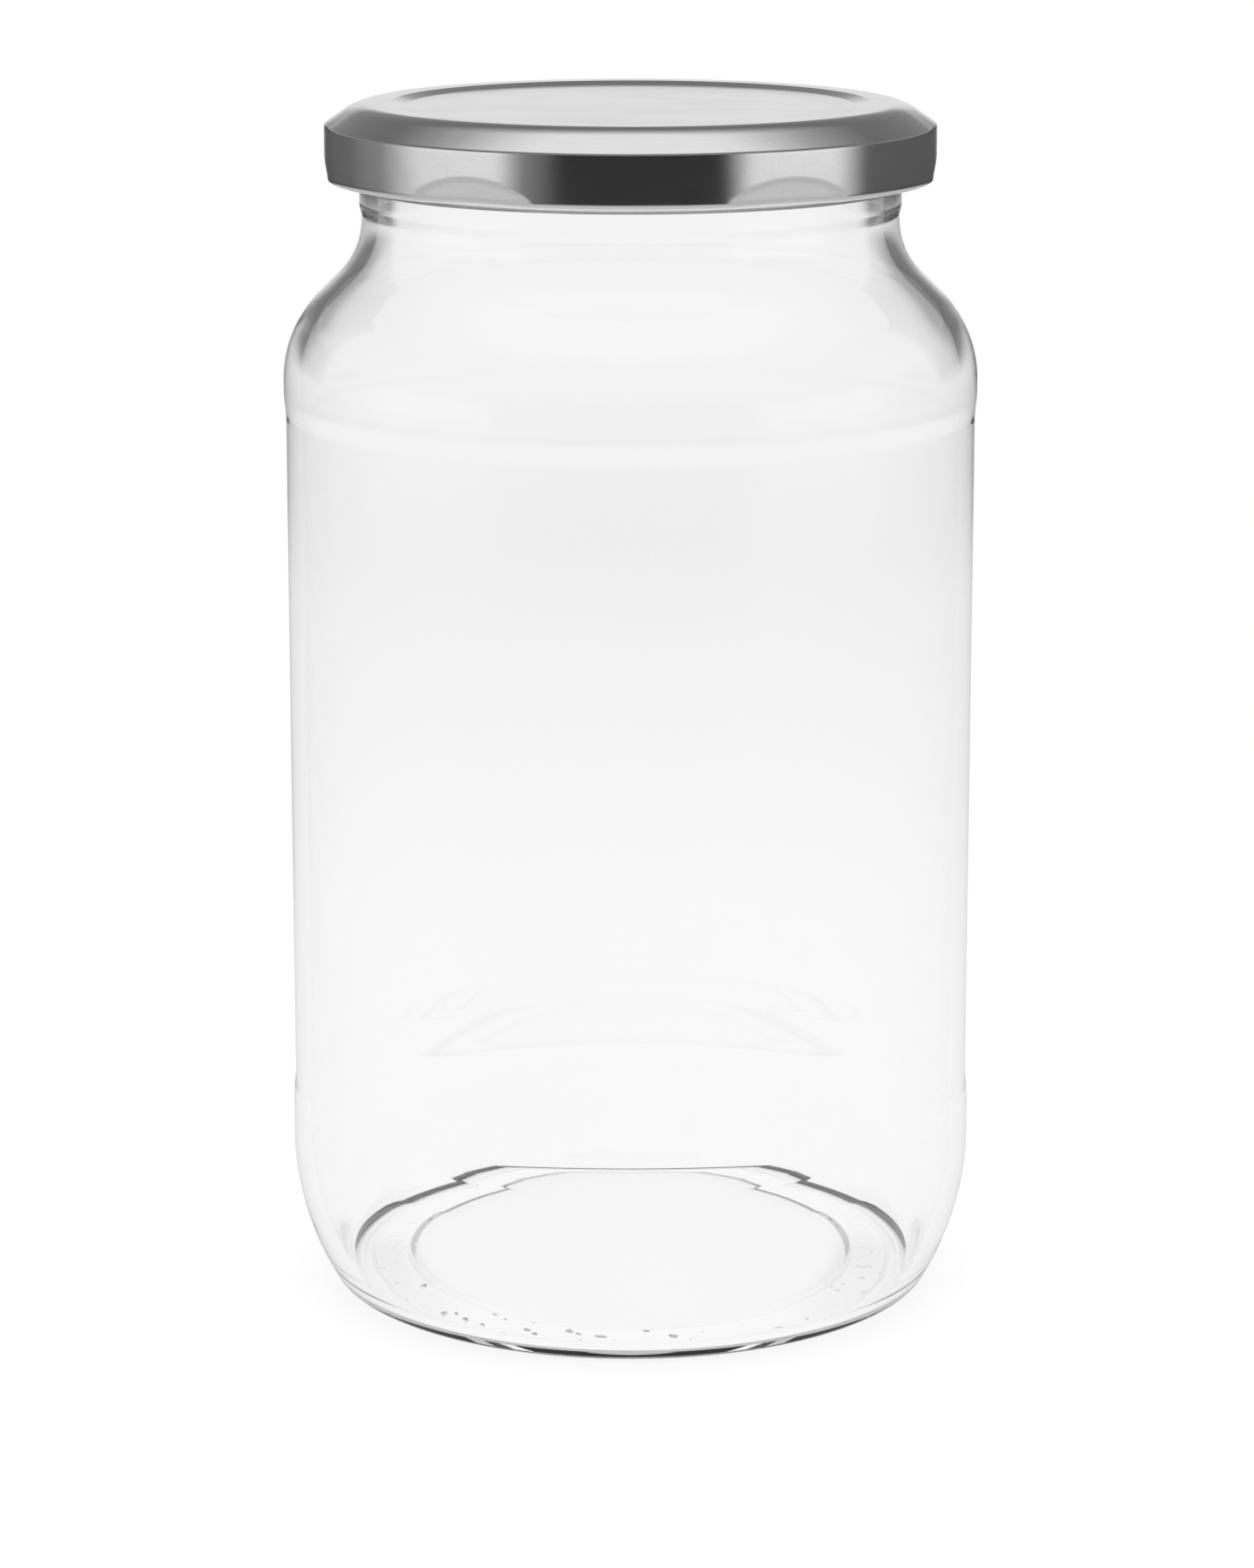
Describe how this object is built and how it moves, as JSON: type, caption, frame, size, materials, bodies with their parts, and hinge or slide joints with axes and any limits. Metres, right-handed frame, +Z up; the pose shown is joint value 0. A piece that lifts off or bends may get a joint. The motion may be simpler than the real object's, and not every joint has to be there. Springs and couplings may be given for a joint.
{
  "type": "sourdough starter jar",
  "caption": "Clear glass preserving jar with a wide mouth, a recessed label band and a silver tinplate twist-off cap, closed and empty, for keeping a sourdough starter.",
  "frame": {"origin": "middle of the base, on the plane that the jar stands on", "axes": "+Z up along the jar's axis, -Y towards the picture's camera, +X to the camera's right; two of the cap's lugs lie 30 degrees either side of -Y"},
  "size_m": [0.098, 0.098, 0.17],
  "materials": {
    "jar_glass": "clear, smooth and glossy",
    "tinplate": "bright satin tinplate under clear lacquer",
    "seal_compound": "pale, soft, satin"
  },
  "bodies": {
    "jar": {"glass_jar": "jar_glass"},
    "seal": {"sealing_ring": "seal_compound"},
    "lid": {"lid_shell": "tinplate"}
  },
  "joints": [
    {"name": "lid_rise", "type": "slide", "parent": "jar", "child": "seal", "axis": [0, 0, 1], "range_m": [0, 0.012]},
    {"name": "lid_turn", "type": "hinge", "parent": "seal", "child": "lid", "pos_m": [0, 0, 0.1602], "axis": [0, 0, 1], "range_deg": [0, 160]}
  ],
  "couplings": [
    {"joint": "lid_rise", "follows": "lid_turn", "m_per_rad": 0.0042971}
  ]
}
